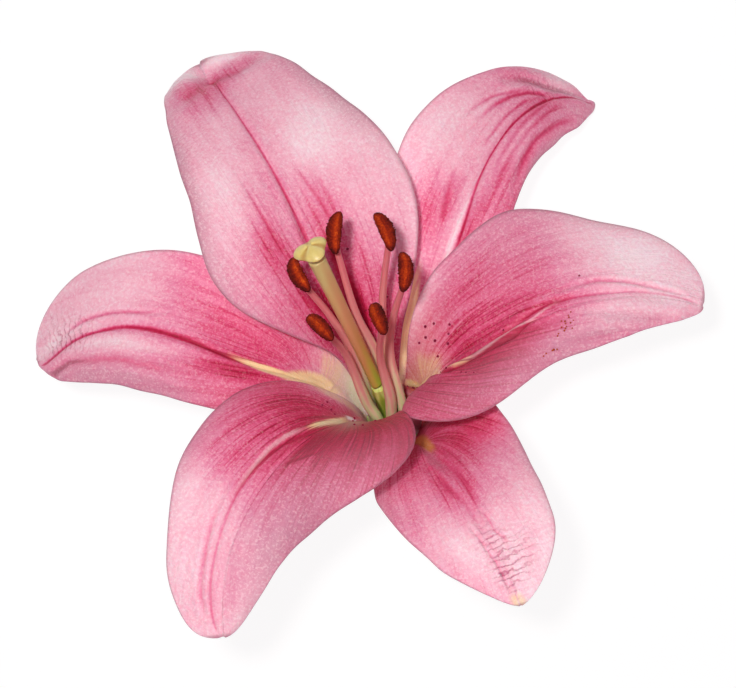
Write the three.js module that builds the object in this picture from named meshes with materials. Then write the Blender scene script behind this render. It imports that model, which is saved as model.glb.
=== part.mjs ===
import * as THREE from 'three';

// A cut lily: one open bloom on a short stalk, in millimetres, z up.
// It lies facing up, on the stalk's cut end and the recurved tips of its two upper tepals.

const rad = THREE.MathUtils.degToRad;
const gap = 0.3;                // between pieces that touch

// Driving dimensions of the bloom
const axisTilt = 34;            // lean of the bloom's axis from vertical, degrees
const axisHeading = 98;         // the way the axis leans, degrees round from +X
const crown = new THREE.Vector3(6.3, -23.2, 16.5);   // middle of the receptacle's top
const crownRadius = 8.6;
const innerRing = 5.6;          // middle of the inner tepals' claws, from the axis
const outerRing = 7.4;          // the same for the outer tepals
const filamentRing = 3.5;
const centring = [1.64, -5.73, 0];   // moves the finished bloom's box over the origin

const axis = new THREE.Vector3(
  Math.sin(rad(axisTilt)) * Math.cos(rad(axisHeading)),
  Math.sin(rad(axisTilt)) * Math.sin(rad(axisHeading)),
  Math.cos(rad(axisTilt)),
);
const across = new THREE.Vector3(1, 0, 0).addScaledVector(axis, -axis.x).normalize();
const upward = new THREE.Vector3().crossVectors(axis, across);

// A point by its turn round the axis, distance from it and height above the crown
function onAxis(turn, radius, height) {
  return crown.clone()
    .addScaledVector(across, Math.cos(rad(turn)) * radius)
    .addScaledVector(upward, Math.sin(rad(turn)) * radius)
    .addScaledVector(axis, height);
}

// A smooth curve through evenly spaced values, for s from 0 to 1
function along(values, s) {
  const last = values.length - 1;
  const x = THREE.MathUtils.clamp(s, 0, 1) * last;
  const i = Math.min(Math.floor(x), last - 1);
  const f = x - i;
  const b = values[i];
  const c = values[i + 1];
  const a = i > 0 ? values[i - 1] : 2 * b - c;
  const d = i + 2 <= last ? values[i + 2] : 2 * c - b;
  return b + 0.5 * f * (c - a + f * (2 * a - 5 * b + 4 * c - d + f * (3 * (b - c) + d - a)));
}

// Tepals. Each list runs from claw to tip in fifths of the length.
// bend is the angle away from the axis, sway the turn within the blade and roll the twist.
// left and right are the half widths. rise is the slope beside the midrib, edgeLeft and
// edgeRight the slopes at the margins, positive towards the inner face.
const flat = [0, 0, 0, 0, 0, 0];
const tepals = {
  inner_tepal_upper_left: {
    whorl: innerRing, turn: 120, length: 130, cap: 0.94,
    bend: [17, 28, 51, 79, 108, 135], sway: [0, 0, 0, -2, -8, -14], roll: [0, 0, 0, 5, 6, 0],
    left: [4, 9, 28, 23.5, 17.2, 12], right: [5, 12.5, 28, 26.5, 22.5, 16],
    rise: [25, 30, 20, 12, 10, 20], edgeLeft: [40, 45, 0, -20, -30, -30], edgeRight: [40, 30, 15, 8, 0, 0],
    ruffle: 0.7, waves: 3.5, phase: 0.1, flare: 45,
  },
  inner_tepal_right: {
    whorl: innerRing, turn: 1, length: 100, cap: 0.85,
    bend: [7, 25, 51, 75, 95, 108], sway: [0, 0, 5, 11, 8, -10], roll: flat,
    left: [4.5, 9, 27, 32, 25, 12], right: [4.5, 13.5, 20, 13, 10, 5],
    rise: [25, 30, 20, 12, 10, 10], edgeLeft: [40, 40, 10, 8, -5, 0], edgeRight: [40, 30, -20, -60, -60, -50],
    ruffle: 0.7, waves: 3, phase: 0.4, flare: 0,
  },
  inner_tepal_lower_left: {
    whorl: innerRing, turn: -123, length: 105, cap: 0.85,
    bend: [11, 28, 55, 82, 107, 127], sway: [0, 0, -3, 1, 14, 28], roll: flat,
    left: [5, 10.5, 25, 18.5, 12.5, 6.5], right: [4.5, 9, 23, 23.5, 16, 8.5],
    rise: [25, 30, 20, 15, 10, 10], edgeLeft: [40, 58, 12, -50, -60, -50], edgeRight: [40, 30, -20, -20, -10, 0],
    ruffle: 0.7, waves: 3, phase: 0.7, flare: 0,
  },
  outer_tepal_upper_right: {
    whorl: outerRing, turn: 60, length: 121, cap: 0.9,
    bend: [23, 37, 58, 81, 106.4, 139], sway: [0, 0, 2, -2, -16, -58], roll: [0, 0, 4, 12, 18, 20],
    left: [4.5, 9, 19, 22, 14, 0], right: [4.5, 9, 13.5, 11.5, 12, 7.5],
    rise: [5, 15, 12, 10, 10, 10], edgeLeft: [10, 0, -15, -10, 0, 0], edgeRight: [10, 0, -35, -55, -55, -40],
    ruffle: 0.5, waves: 3, phase: 0.2, flare: 0,
  },
  outer_tepal_lower_right: {
    whorl: outerRing, turn: -60, length: 84, cap: 0.8,
    bend: [22, 40, 55, 70, 90, 116], sway: [0, 0, -4, -8, -10, -8], roll: flat,
    left: [7.4, 18.5, 20, 18.5, 14, 8.5], right: [6, 12, 20, 18.5, 13, 7],
    rise: [15, 20, 8, 8, 10, 10], edgeLeft: [54, 27, 5, -15, -10, 0], edgeRight: [10, 10, -15, -15, -10, 0],
    ruffle: 0.5, waves: 2.5, phase: 0.5, flare: 0,
  },
  outer_tepal_left: {
    whorl: outerRing, turn: 180, length: 105, cap: 0.85,
    bend: [16, 34, 59, 82, 107, 130], sway: [0, 0, -3, -11, -2, 28], roll: [0, 0, -5, -12, -15, -15],
    left: [4.5, 8, 14.5, 15, 14, 11], right: [6.5, 14.5, 21, 23.5, 21, 14.5],
    rise: [5, 12, 10, 10, 10, 10], edgeLeft: [10, 0, -40, -60, -50, -30], edgeRight: [10, 20, 0, 0, 0, 0],
    ruffle: 0.5, waves: 3, phase: 0.9, flare: 0,
  },
};
const tepalRows = 22;           // along the blade
const capRows = 5;              // of these, round the tip
const halfColumns = 6;          // from midrib to margin
const marginThickness = 0.75;
const midribThickness = 1.1;
const keel = 0.9;               // height of the rib behind the blade
const groove = 0.35;            // depth of the furrow in front of it
const flareFrom = 0.92;         // where a flared tip turns out again

// Frames down the midrib: place, direction, sideways and inner-face normal
function midrib(tepal) {
  const steps = 100;
  const radial = across.clone().multiplyScalar(Math.cos(rad(tepal.turn)))
    .addScaledVector(upward, Math.sin(rad(tepal.turn)));
  const side = new THREE.Vector3().crossVectors(axis, radial);
  const tangent = radial.clone().multiplyScalar(Math.sin(rad(tepal.bend[0])))
    .addScaledVector(axis, Math.cos(rad(tepal.bend[0])));
  const face = new THREE.Vector3().crossVectors(tangent, side);
  const dip = (midribThickness / 2 + keel) * Math.sin(rad(tepal.bend[0]));
  const place = onAxis(tepal.turn, tepal.whorl, gap + dip);
  const flareAt = (s) => tepal.flare * THREE.MathUtils.smoothstep(s, flareFrom, 1);
  const frames = [];
  let before = { bend: tepal.bend[0], sway: 0, roll: tepal.roll[0] };
  for (let i = 0; i <= steps; i++) {
    const s = i / steps;
    const now = {
      bend: along(tepal.bend, s) - flareAt(s),
      sway: along(tepal.sway, s),
      roll: along(tepal.roll, s),
    };
    const bend = new THREE.Quaternion().setFromAxisAngle(side, rad(now.bend - before.bend));
    tangent.applyQuaternion(bend);
    face.applyQuaternion(bend);
    const sway = new THREE.Quaternion().setFromAxisAngle(face, rad(now.sway - before.sway));
    tangent.applyQuaternion(sway);
    side.applyQuaternion(sway);
    const roll = new THREE.Quaternion().setFromAxisAngle(tangent, rad(now.roll - before.roll));
    side.applyQuaternion(roll);
    face.applyQuaternion(roll);
    frames.push({ place: place.clone(), side: side.clone(), face: face.clone() });
    place.addScaledVector(tangent, tepal.length / steps);
    before = now;
  }
  return frames;
}

// Stations along a tepal, closer together round its tip, with the width left at each
function stations(cap) {
  const rows = [];
  const bodyRows = tepalRows - capRows;
  for (let i = 0; i <= bodyRows; i++) {
    rows.push({ s: cap * i / bodyRows, narrowing: 1 });
  }
  for (let i = 1; i <= capRows; i++) {
    const angle = rad(84) * i / capRows;
    rows.push({ s: cap + (1 - cap) * Math.sin(angle), narrowing: Math.cos(angle) });
  }
  return rows;
}

// The frame at s, between the two nearest
function between(frames, s) {
  const x = s * (frames.length - 1);
  const i = Math.min(Math.floor(x), frames.length - 2);
  const mixed = (key) => frames[i][key].clone().lerp(frames[i + 1][key], x - i);
  return { place: mixed('place'), side: mixed('side').normalize(), face: mixed('face').normalize() };
}

// The middle surface of a tepal as rows of points
function blade(tepal) {
  const frames = midrib(tepal);
  return stations(tepal.cap).map(({ s, narrowing }) => {
    const { place, side, face } = between(frames, s);
    const row = [];
    for (const [hand, half, edge] of [[-1, tepal.right, tepal.edgeRight], [1, tepal.left, tepal.edgeLeft]]) {
      const step = along(half, s) * narrowing / halfColumns;
      const rise = along(tepal.rise, s);
      const slope = along(edge, s);
      const points = [];
      let x = 0;
      let z = 0;
      for (let j = 0; j <= halfColumns; j++) {
        if (j > 0) {
          const angle = rad(rise + (slope - rise) * ((j - 0.5) / halfColumns) ** 1.4);
          x += Math.cos(angle) * step;
          z += Math.sin(angle) * step;
        }
        const turn = 2 * Math.PI * (tepal.waves * s + tepal.phase + (hand < 0 ? 0.3 : 0));
        const wave = tepal.ruffle * (j / halfColumns) ** 2.5 * Math.sin(turn) * Math.min(1, 4 * s) * narrowing;
        points.push(place.clone().addScaledVector(side, hand * x).addScaledVector(face, z + wave));
      }
      row.push(...(hand < 0 ? points.reverse() : points.slice(1)));
    }
    return row;
  });
}

// A closed blade: the same grid in front and behind, joined round the rim
function tepalGeometry(tepal) {
  const rows = blade(tepal);
  const rowCount = rows.length;
  const columns = rows[0].length;
  const vertices = [];
  for (const front of [true, false]) {
    for (let i = 0; i < rowCount; i++) {
      for (let j = 0; j < columns; j++) {
        const down = rows[Math.min(i + 1, rowCount - 1)][j].clone().sub(rows[Math.max(i - 1, 0)][j]);
        const over = rows[i][Math.min(j + 1, columns - 1)].clone().sub(rows[i][Math.max(j - 1, 0)]);
        const normal = new THREE.Vector3().crossVectors(down, over).normalize();
        const fromMidrib = Math.abs(j - halfColumns);
        const towardsTip = i / (rowCount - 1);
        const body = THREE.MathUtils.lerp(midribThickness, marginThickness, fromMidrib / halfColumns);
        const rib = fromMidrib === 0 ? 1 - 0.85 * towardsTip : 0;
        const offset = front ? body / 2 - groove * rib : -body / 2 - keel * rib;
        const point = rows[i][j].clone().addScaledVector(normal, offset);
        point.z = Math.max(point.z, 0);
        vertices.push(point);
      }
    }
  }
  const at = (front, i, j) => (front ? 0 : rowCount * columns) + i * columns + j;
  const triangles = [];
  for (let i = 0; i + 1 < rowCount; i++) {
    for (let j = 0; j + 1 < columns; j++) {
      for (const front of [true, false]) {
        const [a, b, c, d] = [at(front, i, j), at(front, i, j + 1), at(front, i + 1, j + 1), at(front, i + 1, j)];
        triangles.push(...(front ? [a, c, b, a, d, c] : [a, b, c, a, c, d]));
      }
    }
    for (const [j, turned] of [[0, false], [columns - 1, true]]) {
      const [a, b, c, d] = [at(true, i, j), at(true, i + 1, j), at(false, i + 1, j), at(false, i, j)];
      triangles.push(...(turned ? [a, b, c, a, c, d] : [a, c, b, a, d, c]));
    }
  }
  for (let j = 0; j + 1 < columns; j++) {
    for (const [i, turned] of [[0, true], [rowCount - 1, false]]) {
      const [a, b, c, d] = [at(true, i, j), at(true, i, j + 1), at(false, i, j + 1), at(false, i, j)];
      triangles.push(...(turned ? [a, b, c, a, c, d] : [a, c, b, a, d, c]));
    }
  }
  return solid(vertices, triangles);
}

function solid(points, triangles) {
  const geometry = new THREE.BufferGeometry().setFromPoints(points);
  geometry.setIndex(triangles);
  geometry.computeVertexNormals();
  return geometry;
}

// A closed stem of rings along a path. ring(s, angle) gives the radius, and cut moves end points.
function stem(path, rings, sides, ring, cut) {
  const vertices = [];
  const triangles = [];
  const { tangents, normals, binormals } = path.computeFrenetFrames(rings, false);
  for (let i = 0; i <= rings; i++) {
    const s = i / rings;
    const middle = path.getPointAt(s);
    for (let j = 0; j < sides; j++) {
      const angle = 2 * Math.PI * j / sides;
      const radius = ring(s, angle);
      const point = middle.clone()
        .addScaledVector(normals[i], Math.cos(angle) * radius)
        .addScaledVector(binormals[i], Math.sin(angle) * radius);
      vertices.push(cut ? cut(point, tangents[i], s) : point);
    }
  }
  for (let i = 0; i < rings; i++) {
    for (let j = 0; j < sides; j++) {
      const k = (j + 1) % sides;
      const [a, b, c, d] = [i * sides + j, i * sides + k, (i + 1) * sides + k, (i + 1) * sides + j];
      triangles.push(a, b, c, a, c, d);
    }
  }
  for (let j = 1; j + 1 < sides; j++) {
    const end = rings * sides;
    triangles.push(0, j + 1, j, end, end + j, end + j + 1);
  }
  return solid(vertices, triangles);
}

// Stalk: from its cut end on the ground up into the receptacle
const stalkRadius = 2.9;
const receptacleHeight = 10;
const stalkSag = 1.2;
function stalkGeometry() {
  const length = crown.z / axis.z;
  const path = new THREE.CatmullRomCurve3([
    onAxis(0, 0, -length),
    onAxis(-90, stalkSag, -length * 0.6),
    onAxis(0, 0, -length * 0.25),
    onAxis(0, 0, 0),
  ]);
  const ring = (s) => {
    const below = (1 - s) * length;
    const spread = THREE.MathUtils.smoothstep(receptacleHeight - below, 0, receptacleHeight);
    return THREE.MathUtils.lerp(stalkRadius, crownRadius, spread ** 1.2);
  };
  const cut = (point, tangent, s) => {
    if (s === 0) {
      point.addScaledVector(tangent, -point.z / tangent.z);
    }
    return point;
  };
  return stem(path, 14, 20, ring, cut);
}

// Stamens. via are two points on the filament's way past the ovary. The anther has its middle,
// the way it points as a heading and a pitch, in degrees, and lies across the filament's end.
const filamentRadius = 1.1;
const filamentTipRadius = 0.5;
const besideOvary = [4.5, 13];  // distance from the axis and height where filaments pass the ovary
const antherLength = 11;
const antherWidth = 4;
const antherDepth = 2.8;
const antherArch = 0.9;         // how far its ends bend back
const stamens = [
  { turn: 120, via: [[1.9, -2.8, 36], [-3.1, 7.8, 48]], middle: [-7.9, 27.1, 65], heading: 85, pitch: -22 },
  { turn: 60, via: [[4.3, -3.6, 35], [3.6, 11.6, 49]], middle: [3.6, 27.2, 63], heading: 106, pitch: -26 },
  { turn: 0, via: [[5.5, -3.6, 40], [6.1, 6, 53]], middle: [8.8, 17.7, 67], heading: 91, pitch: -31 },
  { turn: 180, via: [[-3.1, -3.6, 41], [-9.2, 6.7, 53]], middle: [-16.9, 16.9, 65], heading: 117, pitch: -35 },
  { turn: -65, via: [[5.6, -13.5, 38], [3, -3.5, 52]], middle: [2.4, 6.6, 70], heading: 110, pitch: -46 },
  { turn: -120, via: [[0, -15.4, 33], [-4.6, -2.7, 52]], middle: [-11.7, 4.4, 69], heading: 137, pitch: -43 },
];

function antherFrame({ middle, heading, pitch }) {
  const forward = new THREE.Vector3(
    Math.cos(rad(heading)) * Math.cos(rad(pitch)),
    Math.sin(rad(heading)) * Math.cos(rad(pitch)),
    Math.sin(rad(pitch)),
  );
  const side = new THREE.Vector3().crossVectors(forward, new THREE.Vector3(0, 0, 1)).normalize();
  const up = new THREE.Vector3().crossVectors(side, forward);
  return { middle: new THREE.Vector3(...middle), forward, side, up };
}

function filamentGeometry(stamen) {
  const { middle, forward, up } = antherFrame(stamen);
  const foot = onAxis(stamen.turn, filamentRing, gap + filamentRadius * 0.3);
  const past = onAxis(stamen.turn, ...besideOvary);
  const end = middle.addScaledVector(up, -(antherDepth / 2 + filamentTipRadius + gap))
    .addScaledVector(forward, -antherLength * 0.15);
  const via = stamen.via.map((place) => new THREE.Vector3(...place));
  const ring = (s) => THREE.MathUtils.lerp(filamentRadius, filamentTipRadius, s ** 1.5);
  return stem(new THREE.CatmullRomCurve3([foot, past, ...via, end]), 14, 8, ring);
}

// An anther: a curved pod with a furrow down the face that sheds pollen
function antherGeometry(stamen) {
  const { middle, forward, side, up } = antherFrame(stamen);
  const rings = 12;
  const sides = 12;
  const vertices = [];
  const triangles = [];
  for (let i = 0; i <= rings; i++) {
    const t = -Math.cos(Math.PI * i / rings);
    const swell = Math.max(0.12, (1 - t * t) ** 0.42);
    const place = middle.clone().addScaledVector(forward, t * antherLength / 2)
      .addScaledVector(up, -antherArch * t * t);
    for (let j = 0; j < sides; j++) {
      const angle = 2 * Math.PI * j / sides;
      const furrow = 1 - 0.38 * Math.max(0, Math.sin(angle)) ** 6;
      vertices.push(place.clone()
        .addScaledVector(side, Math.cos(angle) * swell * antherWidth / 2)
        .addScaledVector(up, Math.sin(angle) * furrow * swell * antherDepth / 2));
    }
  }
  for (let i = 0; i < rings; i++) {
    for (let j = 0; j < sides; j++) {
      const k = (j + 1) % sides;
      const [a, b, c, d] = [i * sides + j, i * sides + k, (i + 1) * sides + k, (i + 1) * sides + j];
      triangles.push(a, c, b, a, d, c);
    }
  }
  for (let j = 1; j + 1 < sides; j++) {
    const end = rings * sides;
    triangles.push(0, j, j + 1, end, end + j + 1, end + j);
  }
  return solid(vertices, triangles);
}

// Pistil: ovary on the receptacle, then the style, then the three-lobed stigma
const ovaryLength = 25;
const ovaryRadius = 2.1;
const styleRadius = 1.6;
const styleWay = [[2.4, -10.5, 39.2], [-3, 1, 49.5], [-8.6, 12.5, 58.8], [-12.6, 20.6, 66]];
const stigmaRadius = 4.1;
const stigmaHeight = 4;
const ovaryPath = new THREE.CatmullRomCurve3([
  onAxis(0, 0, gap),
  onAxis(0, 0, ovaryLength * 0.5),
  new THREE.Vector3(...styleWay[0]),
]);
const stylePath = new THREE.CatmullRomCurve3(styleWay.map((place) => new THREE.Vector3(...place)));

function ovaryGeometry() {
  const ring = (s, angle) => {
    const swell = 1 + 0.16 * Math.sin(Math.PI * s) - 0.25 * THREE.MathUtils.smoothstep(s, 0.85, 1);
    return ovaryRadius * swell * (1 + 0.06 * Math.cos(6 * angle));
  };
  return stem(ovaryPath, 12, 24, ring);
}

function styleGeometry() {
  const start = ovaryPath.getTangentAt(1).multiplyScalar(gap * 3);
  const points = stylePath.points.map((point, i) => (i === 0 ? point.clone().add(start) : point));
  const ring = (s) => styleRadius * (1 + 0.25 * s * s);
  return stem(new THREE.CatmullRomCurve3(points), 14, 12, ring);
}

function stigmaGeometry() {
  const up = stylePath.getTangentAt(1);
  const foot = stylePath.getPointAt(1).addScaledVector(up, gap);
  const path = new THREE.LineCurve3(foot, foot.clone().addScaledVector(up, stigmaHeight));
  const ring = (s, angle) => {
    const dome = Math.sqrt(Math.max(0, 1 - (1.7 * (s - 0.42)) ** 2));
    const lobes = 1 + 0.2 * Math.cos(3 * angle);
    return Math.max(0.35, stigmaRadius * dome * lobes * (s < 0.5 ? 0.65 + 0.7 * s : 1));
  };
  return stem(path, 10, 24, ring);
}

const colours = {
  inner: 0xeb94ab, outer: 0xf0a6b8, stalk: 0x8fa05a, filament: 0xd9858a,
  anther: 0xa7290c, ovary: 0x93a83f, style: 0xb5664c, stigma: 0xd9bc78,
};

function piece(name, geometry, colour, roughness) {
  const material = new THREE.MeshStandardMaterial({ color: colour, roughness, metalness: 0 });
  const mesh = new THREE.Mesh(geometry, material);
  mesh.name = name;
  return mesh;
}

const lily = new THREE.Group();
lily.add(piece('flower_stalk', stalkGeometry(), colours.stalk, 0.55));
for (const [name, tepal] of Object.entries(tepals)) {
  lily.add(piece(name, tepalGeometry(tepal), name.startsWith('inner') ? colours.inner : colours.outer, 0.5));
}
stamens.forEach((stamen, i) => {
  lily.add(piece(`filament_${i + 1}`, filamentGeometry(stamen), colours.filament, 0.5));
  lily.add(piece(`anther_${i + 1}`, antherGeometry(stamen), colours.anther, 0.9));
});
lily.add(piece('ovary', ovaryGeometry(), colours.ovary, 0.5));
lily.add(piece('style', styleGeometry(), colours.style, 0.5));
lily.add(piece('stigma', stigmaGeometry(), colours.stigma, 0.35));

lily.position.set(...centring);

export default lily;
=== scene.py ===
# Cut lily: the looks of one open pink bloom that lies face up on a pale table.
# Lengths are in millimetres up to the last step, where toMetres brings each mesh into the frame.
import math
from functools import partial
import bmesh
import bpy
import numpy as np
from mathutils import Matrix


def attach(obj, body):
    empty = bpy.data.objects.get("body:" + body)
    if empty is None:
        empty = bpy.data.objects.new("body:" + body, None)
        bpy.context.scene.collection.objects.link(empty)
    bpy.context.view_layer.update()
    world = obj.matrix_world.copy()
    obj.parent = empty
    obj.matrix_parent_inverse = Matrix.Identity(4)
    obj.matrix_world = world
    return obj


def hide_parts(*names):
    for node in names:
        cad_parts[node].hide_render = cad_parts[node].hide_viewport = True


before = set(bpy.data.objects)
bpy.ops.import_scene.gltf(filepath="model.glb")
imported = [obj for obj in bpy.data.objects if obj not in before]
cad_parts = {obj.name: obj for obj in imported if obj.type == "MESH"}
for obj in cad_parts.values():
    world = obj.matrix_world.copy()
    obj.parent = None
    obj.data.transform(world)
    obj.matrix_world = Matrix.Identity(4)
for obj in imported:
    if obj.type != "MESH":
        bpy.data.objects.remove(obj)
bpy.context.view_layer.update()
scene = bpy.context.scene
print("frame loaded", len(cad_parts), "nodes")


# The bloom leans from vertical by its tilt, to a heading round from +X. crown is the middle of the
# receptacle's top, gap is left between the pieces there, and centring brings all to the frame's middle.
bloom = dict(
    tilt=34, heading=98, crown=(6.3, -23.2, 16.5), crownRadius=8.6, gap=0.3,
    centring=(1.64, -5.73, 0),
)
mm = 0.001


def vec(*values):
    return np.array(values, float)


def unit(v):
    return v / np.linalg.norm(v, axis=-1, keepdims=True)


def smoothStep(x, low, high):
    t = np.clip((x - low) / (high - low), 0, 1)
    return t * t * (3 - 2 * t)


def bump(x, middle, width):
    return np.exp(-((x - middle) / width) ** 2)


# A smooth curve through evenly spaced values, for s from 0 to 1
def along(values, s):
    values = np.asarray(values, float)
    last = len(values) - 1
    x = np.clip(s, 0, 1) * last
    i = np.minimum(np.floor(x).astype(int), last - 1)
    f = x - i
    padded = np.concatenate([[2 * values[0] - values[1]], values, [2 * values[-1] - values[-2]]])
    a, b, c, d = (padded[i + k] for k in range(4))
    return b + 0.5 * f * (c - a + f * (2 * a - 5 * b + 4 * c - d + f * (3 * (b - c) + d - a)))


def turned(v, axis, degrees):
    angle = math.radians(degrees)
    return (v * math.cos(angle) + np.cross(axis, v) * math.sin(angle)
            + axis * np.dot(axis, v) * (1 - math.cos(angle)))


lean, course = math.radians(bloom["tilt"]), math.radians(bloom["heading"])
bloomAxis = vec(math.sin(lean) * math.cos(course), math.sin(lean) * math.sin(course), math.cos(lean))
bloomAcross = unit(vec(1, 0, 0) - bloomAxis * bloomAxis[0])
bloomUp = np.cross(bloomAxis, bloomAcross)


# The way out from the bloom's axis at a turn round it, and a place so far out and so high
def outward(turn):
    angle = math.radians(turn)
    return bloomAcross * math.cos(angle) + bloomUp * math.sin(angle)


def onAxis(turn, radius, height):
    return vec(*bloom["crown"]) + outward(turn) * radius + bloomAxis * height


# Shader helpers
def linear(code):
    channels = [int(code[k:k + 2], 16) / 255 for k in (1, 3, 5)]
    return [c / 12.92 if c <= 0.04045 else ((c + 0.055) / 1.055) ** 2.4 for c in channels] + [1]


# Adds one node. An input that is a node, or a pair of a node and its output, is linked.
def addNode(tree, kind, inputs=(), **settings):
    node = tree.nodes.new("ShaderNode" + kind)
    for key, value in settings.items():
        setattr(node, key, value)
    for key, value in inputs.items() if isinstance(inputs, dict) else enumerate(inputs):
        source, output = value if isinstance(value, tuple) and len(value) == 2 else (value, 0)
        if isinstance(source, bpy.types.Node):
            tree.links.new(source.outputs[output], node.inputs[key])
        else:
            node.inputs[key].default_value = value
    return node


def setRamp(node, stops):
    elements = node.color_ramp.elements
    while len(elements) < len(stops):
        elements.new(0.5)
    for element, (place, colour) in zip(elements, stops):
        element.position = place
        element.color = linear(colour) if isinstance(colour, str) else (colour, colour, colour, 1)
    return node


def newMaterial(name, constants):
    material = bpy.data.materials.new(name)
    material.use_nodes = True
    tree = material.node_tree
    shader = tree.nodes["Principled BSDF"]
    for key, value in constants.items():
        shader.inputs[key].default_value = value
    return material, tree, shader


# Gives a shader its colour and a fine relief, of this strength and depth
def dressShader(tree, shader, colour, height, strength, depth):
    relief = addNode(tree, "Bump", {"Strength": strength, "Distance": depth * mm, "Height": height})
    tree.links.new(colour, shader.inputs["Base Color"])
    tree.links.new(relief.outputs[0], shader.inputs["Normal"])


# What a Math node does with its inputs
plus, minus, times, timesPlus = (
    {"operation": operation} for operation in ("ADD", "SUBTRACT", "MULTIPLY", "MULTIPLY_ADD")
)


# Flesh coloured along its stops by a measure on the piece. A noise is its grain in millimetres, its
# detail and how far it shifts the colour, and the first is the relief too.
def makeFlesh(name, constants, measure, noises, stops, relief, streak=0, start=0):
    material, tree, shader = newMaterial(name, constants)
    add = partial(addNode, tree)
    place = add("TexCoord")
    level = (add("Attribute", attribute_name=measure), "Fac")
    grains = [add("TexNoise", {"Vector": (place, 3), "Scale": 1 / (size * mm), "Detail": detail})
              for size, detail, shift in noises]
    for grain, (size, detail, shift) in zip(grains, noises):
        level = add("Math", [grain, shift, level], **timesPlus)
    if streak:
        streaks = add("Attribute", attribute_name="streak")
        level = add("Math", [(streaks, "Fac"), streak, level], **timesPlus)
    if start:
        level = add("Math", [level, start], **plus)
    ramp = setRamp(add("ValToRGB", {"Fac": level}), stops)
    dressShader(tree, shader, ramp.outputs[0], grains[0], *relief)
    return material


# Mesh helpers
def toMetres(points):
    return (points + vec(*bloom["centring"])) * mm


def finishPiece(name, bm, material, node):
    bmesh.ops.recalc_face_normals(bm, faces=bm.faces[:])
    mesh = bpy.data.meshes.new(name)
    bm.to_mesh(mesh)
    bm.free()
    mesh.polygons.foreach_set("use_smooth", [True] * len(mesh.polygons))
    mesh.materials.append(material)
    piece = bpy.data.objects.new(name, mesh)
    scene.collection.objects.link(piece)
    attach(piece, "root")
    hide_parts(node)
    return mesh


# Camera, light and floor. height is above the table, looking straight down at axis
view = dict(height=555, axis=(0, 0), lens=100, sensor=36)
cameraData = bpy.data.cameras.new("camera")
cameraData.lens = view["lens"]
cameraData.sensor_width = view["sensor"]
camera = bpy.data.objects.new("camera", cameraData)
camera.location = toMetres(vec(*view["axis"], view["height"]))
scene.collection.objects.link(camera)
scene.camera = camera
scene.view_settings.view_transform = "Standard"

# A small lamp just left of the camera gives the crisp shadows beside the style, the others fill
lights = dict(
    key=dict(place=(-60, 45, 620), size=45, power=2.3, colour="#fffaf6"),
    fill=dict(place=(200, -120, 700), size=500, power=0.45, colour="#f9d8e6"),
    top=dict(place=(-60, 160, 800), size=600, power=0.9, colour="#fbe6f0"),
)
for name, light in lights.items():
    data = bpy.data.lights.new(name, "AREA")
    data.shape = "DISK"
    data.size = light["size"] * mm
    data.energy = light["power"]
    data.color = linear(light["colour"])[:3]
    lamp = bpy.data.objects.new(name, data)
    lamp.location = toMetres(vec(*light["place"]))
    lamp.rotation_mode = "QUATERNION"
    lamp.rotation_quaternion = (-lamp.location).to_track_quat("-Z", "Y")
    scene.collection.objects.link(lamp)

# The room's faint pink light, and pale paper under the bloom that hardly takes a shadow
room = dict(colour="#ffe0e6", strength=0.15)
world = bpy.data.worlds.new("softRoom")
world.use_nodes = True
background = world.node_tree.nodes["Background"]
background.inputs["Color"].default_value = linear(room["colour"])
background.inputs["Strength"].default_value = room["strength"]
scene.world = world

table = dict(halfWidth=1600, colour="#606060", glow="#ffffff", glowStrength=0.9)
bm = bmesh.new()
bmesh.ops.create_grid(bm, x_segments=1, y_segments=1, size=table["halfWidth"] * mm)
floorMesh = bpy.data.meshes.new("floor")
bm.to_mesh(floorMesh)
bm.free()
floorMesh.materials.append(newMaterial("palePaperTable", {
    "Base Color": linear(table["colour"]), "Roughness": 0.9,
    "Emission Color": linear(table["glow"]), "Emission Strength": table["glowStrength"],
})[0])
floor = bpy.data.objects.new("floor", floorMesh)
scene.collection.objects.link(floor)
print("camera, light and floor set")


# Tepals. Lists of six run from claw to tip in fifths of the length, and angles are in degrees. A place
# is (across, along), across from -1 at the right margin to 1 at the left, along from claw to tip.
# turn is the way out from the axis. bend, sway and roll lean, turn and twist the midrib, and flare turns
# the tip out again. cap is where the tip rounds off and tips how blunt its right and left sides are.
# left and right are half widths, and neck narrows the right one: how much, where and how far. rise is
# the slope beside the midrib, riseRight the right half's if it differs, and edgeLeft and edgeRight the
# slopes at the margins, which ruffle in waves from a phase.
# midrib is how far it runs to the side, then its darkening, where that starts and where both end.
# blush is the depth of pink. Patches add to it: a place, the reach across and along, and the amount, and
# so do wrinkles, swells and the washes; the wrinkles' folds are darkened as painted shade, and a few
# patches are painted shade and painted highlight, as noted. A crease is its width, depth, darkening and
# places, its darkening being painted shade along it; one with no depth is only a painted shadow band. A
# channel is a wash, its widths in millimetres at both ends, its strength and its places. The washes are
# pigments, but shade is painted shade and the sparkle wash is painted highlight. fan is where the veins
# spread from and how strongly. Each papilla and pollen grain is a place and a size.
# ring is the claws' way from the axis and ruffle the height of the ruffles.
whorls = dict(inner=dict(ring=5.6, ruffle=0.7), outer=dict(ring=7.4, ruffle=0.5))
plainTepal = dict(
    roll=(0, 0, 0, 0, 0, 0), flare=0, waves=3, neck=(0, 0.5, 1), midribEnd=(0.97, 1.1), midribWidth=0.4,
    furrow=1, swells=(),
)
tepals = {}
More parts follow.
